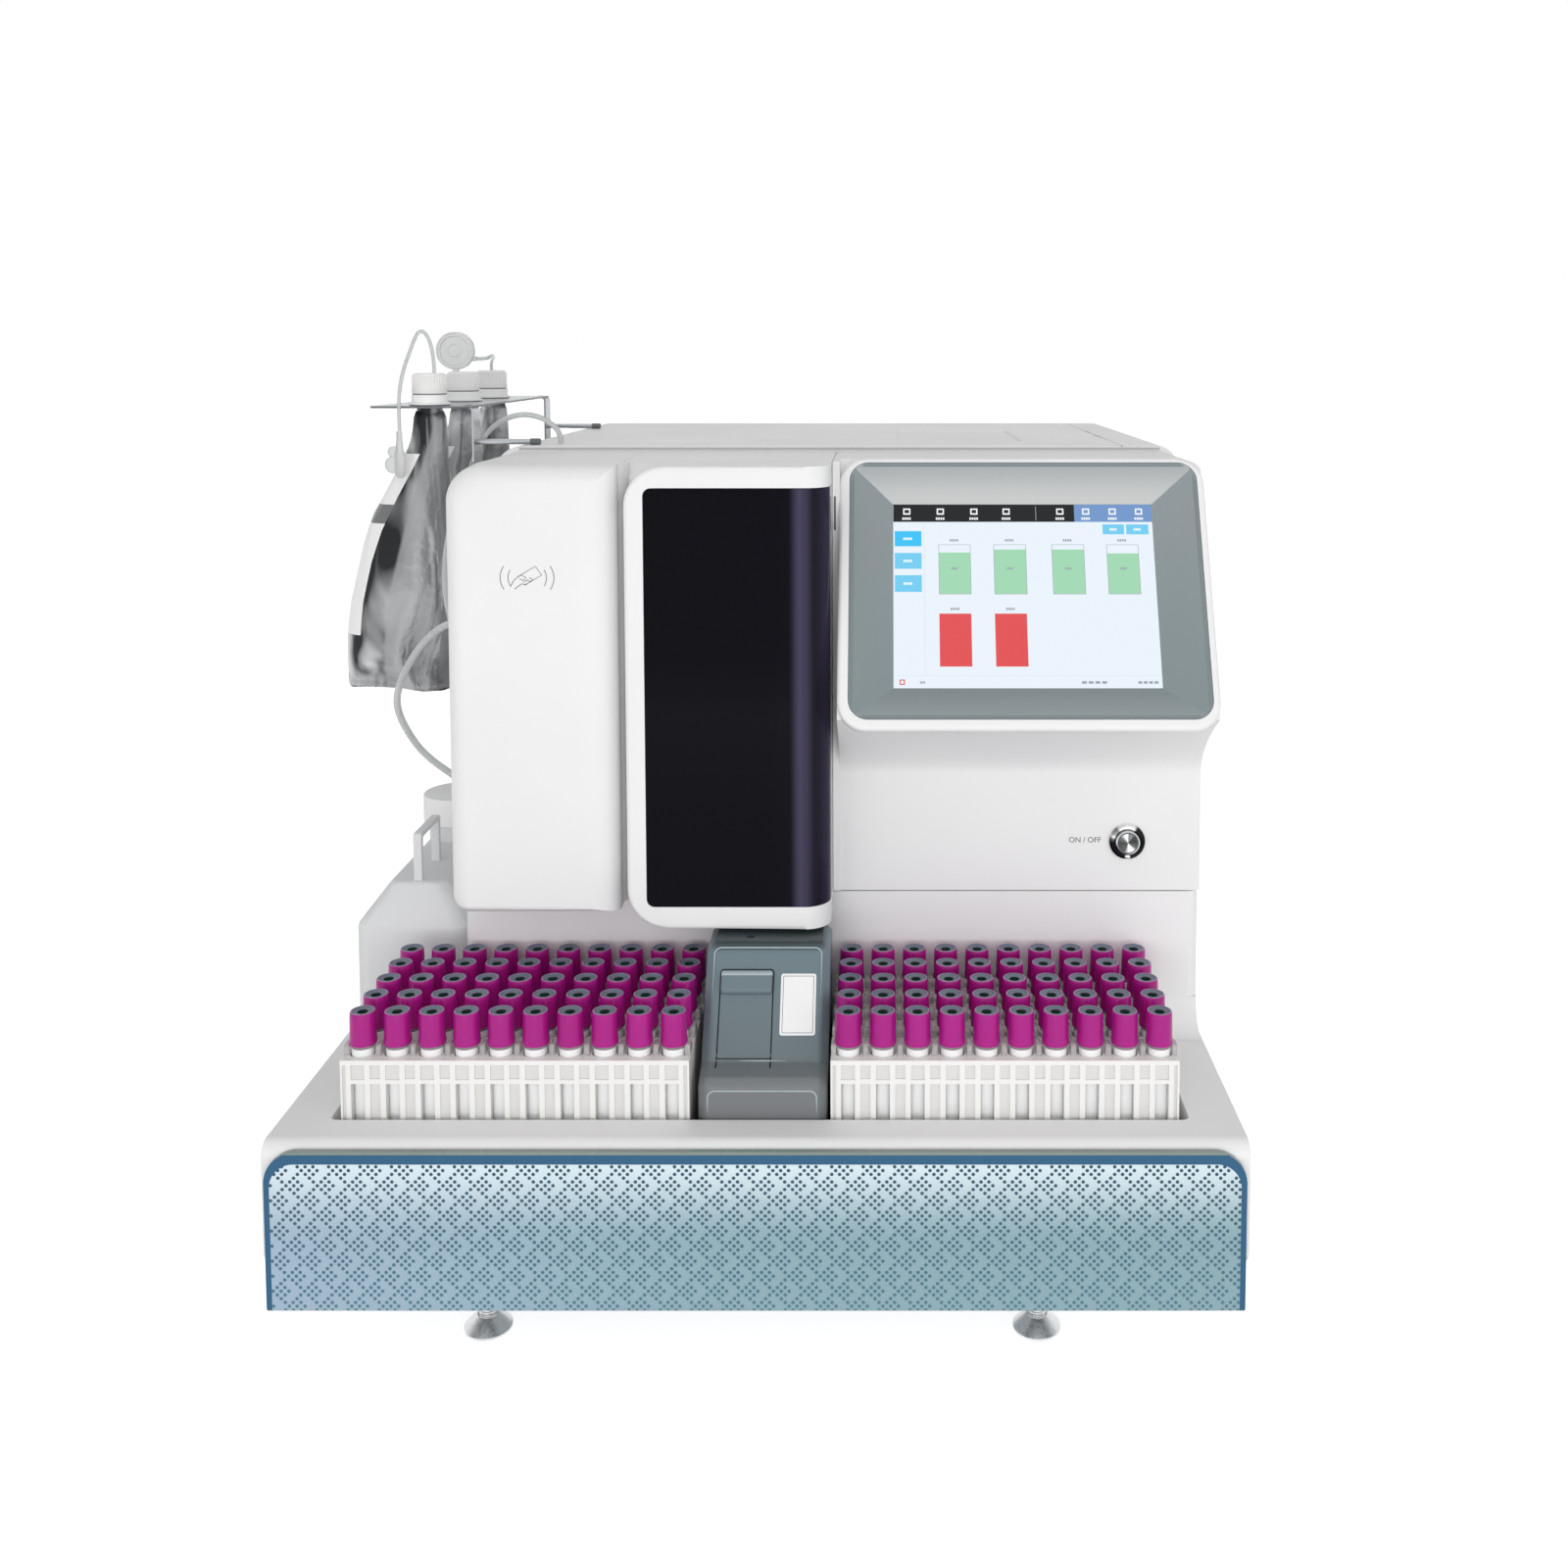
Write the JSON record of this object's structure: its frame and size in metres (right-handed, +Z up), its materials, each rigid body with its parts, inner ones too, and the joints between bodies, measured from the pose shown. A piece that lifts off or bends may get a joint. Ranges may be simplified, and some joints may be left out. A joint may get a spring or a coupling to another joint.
{
  "type": "glycohemoglobin analyzer",
  "caption": "Bench-top blood analyzer with a rack tray, sample tower, hinged front door, tilted touch screen, side reagent bags and a waste bottle.",
  "frame": {"origin": "middle of the footprint on the bench, measured without the free tubes and the filters", "axes": "+X to the instrument's right seen from the front, +Y to its back, +Z up"},
  "size_m": [0.5818, 0.59, 0.5851],
  "materials": {
    "cover_plastic": "moulded ABS, satin white",
    "rack_plastic": "moulded white polypropylene",
    "tube_caps": "magenta stoppers on labelled tubes",
    "tower_plastic": "moulded blue-grey ABS",
    "panel_paint": "metallic blue paint with a dot pattern",
    "window_acrylic": "smoked acrylic",
    "bezel_plastic": "grey-green satin bezel",
    "screen_glass": "lit display behind glass",
    "chrome": "polished",
    "steel": "brushed",
    "works_metal": "machined and anodised",
    "bag_foil": "laminated foil",
    "cap_plastic": "moulded white polypropylene",
    "bottle_plastic": "blown natural polyethylene",
    "clear_tube": "clear flexible tube",
    "filter_plastic": "clear moulded plastic"
  },
  "bodies": {
    "cabinet": {"tray_shell": "cover_plastic", "lower_cover": "cover_plastic", "left_cover": "cover_plastic", "bay_housing": "cover_plastic", "right_cover": "cover_plastic", "rear_housing": "cover_plastic", "top_lid": "cover_plastic", "tower_housing": "tower_plastic", "front_panel": "panel_paint", "display_plate": "bezel_plastic", "touch_screen": "screen_glass", "power_button_ring": "chrome", "foot_front_left": "chrome", "foot_front_right": "chrome", "foot_rear_left": "chrome", "foot_rear_right": "chrome", "base_plate": "steel", "bag_bracket": "steel", "door_hinge_rod": "steel", "needle_unit": "works_metal", "elution_pump": "works_metal", "column_oven": "works_metal", "reagent_bag_1": "bag_foil", "reagent_bag_2": "bag_foil", "reagent_bag_3": "bag_foil", "bag_cap_1": "cap_plastic", "bag_cap_2": "cap_plastic", "bag_cap_3": "cap_plastic", "waste_cap": "cap_plastic", "waste_bottle": "bottle_plastic", "pickup_tube": "clear_tube", "filter_tube": "clear_tube", "line_tube": "clear_tube", "waste_tube": "clear_tube", "vent_filter": "filter_plastic", "inline_filter": "filter_plastic"},
    "door": {"front_door": "cover_plastic", "door_window": "window_acrylic"},
    "flap": {"stat_flap": "tower_plastic"},
    "button": {"power_button": "chrome"},
    "rack_left_1_lift": {"rack_left_1": "rack_plastic", "tubes_left_1": "tube_caps"},
    "rack_left_2_lift": {"rack_left_2": "rack_plastic", "tubes_left_2": "tube_caps"},
    "rack_left_3_lift": {"rack_left_3": "rack_plastic", "tubes_left_3": "tube_caps"},
    "rack_left_4_lift": {"rack_left_4": "rack_plastic", "tubes_left_4": "tube_caps"},
    "rack_left_5_lift": {"rack_left_5": "rack_plastic", "tubes_left_5": "tube_caps"},
    "rack_right_1_lift": {"rack_right_1": "rack_plastic", "tubes_right_1": "tube_caps"},
    "rack_right_2_lift": {"rack_right_2": "rack_plastic", "tubes_right_2": "tube_caps"},
    "rack_right_3_lift": {"rack_right_3": "rack_plastic", "tubes_right_3": "tube_caps"},
    "rack_right_4_lift": {"rack_right_4": "rack_plastic", "tubes_right_4": "tube_caps"},
    "rack_right_5_lift": {"rack_right_5": "rack_plastic", "tubes_right_5": "tube_caps"}
  },
  "joints": [
    {"name": "door_hinge", "type": "hinge", "parent": "cabinet", "child": "door", "pos_m": [-0.06515, -0.182, 0.358], "axis": [0, 0, -1], "range_deg": [0, 90]},
    {"name": "flap_hinge", "type": "hinge", "parent": "cabinet", "child": "flap", "pos_m": [0.00505, -0.24235, 0.15971], "axis": [1, 0, 0], "range_deg": [0, 50]},
    {"name": "power_press", "type": "slide", "parent": "cabinet", "child": "button", "axis": [0, 1, 0], "range_m": [0, 0.002], "stiffness_N_per_m": 400, "springref_m": -0.002},
    {"name": "lift_rack_left_1", "type": "slide", "parent": "cabinet", "child": "rack_left_1_lift", "axis": [0, 0, 1], "range_m": [0, 0.024]},
    {"name": "lift_rack_left_2", "type": "slide", "parent": "cabinet", "child": "rack_left_2_lift", "axis": [0, 0, 1], "range_m": [0, 0.024]},
    {"name": "lift_rack_left_3", "type": "slide", "parent": "cabinet", "child": "rack_left_3_lift", "axis": [0, 0, 1], "range_m": [0, 0.024]},
    {"name": "lift_rack_left_4", "type": "slide", "parent": "cabinet", "child": "rack_left_4_lift", "axis": [0, 0, 1], "range_m": [0, 0.024]},
    {"name": "lift_rack_left_5", "type": "slide", "parent": "cabinet", "child": "rack_left_5_lift", "axis": [0, 0, 1], "range_m": [0, 0.024]},
    {"name": "lift_rack_right_1", "type": "slide", "parent": "cabinet", "child": "rack_right_1_lift", "axis": [0, 0, 1], "range_m": [0, 0.1]},
    {"name": "lift_rack_right_2", "type": "slide", "parent": "cabinet", "child": "rack_right_2_lift", "axis": [0, 0, 1], "range_m": [0, 0.1]},
    {"name": "lift_rack_right_3", "type": "slide", "parent": "cabinet", "child": "rack_right_3_lift", "axis": [0, 0, 1], "range_m": [0, 0.1]},
    {"name": "lift_rack_right_4", "type": "slide", "parent": "cabinet", "child": "rack_right_4_lift", "axis": [0, 0, 1], "range_m": [0, 0.1]},
    {"name": "lift_rack_right_5", "type": "slide", "parent": "cabinet", "child": "rack_right_5_lift", "axis": [0, 0, 1], "range_m": [0, 0.076]}
  ]
}
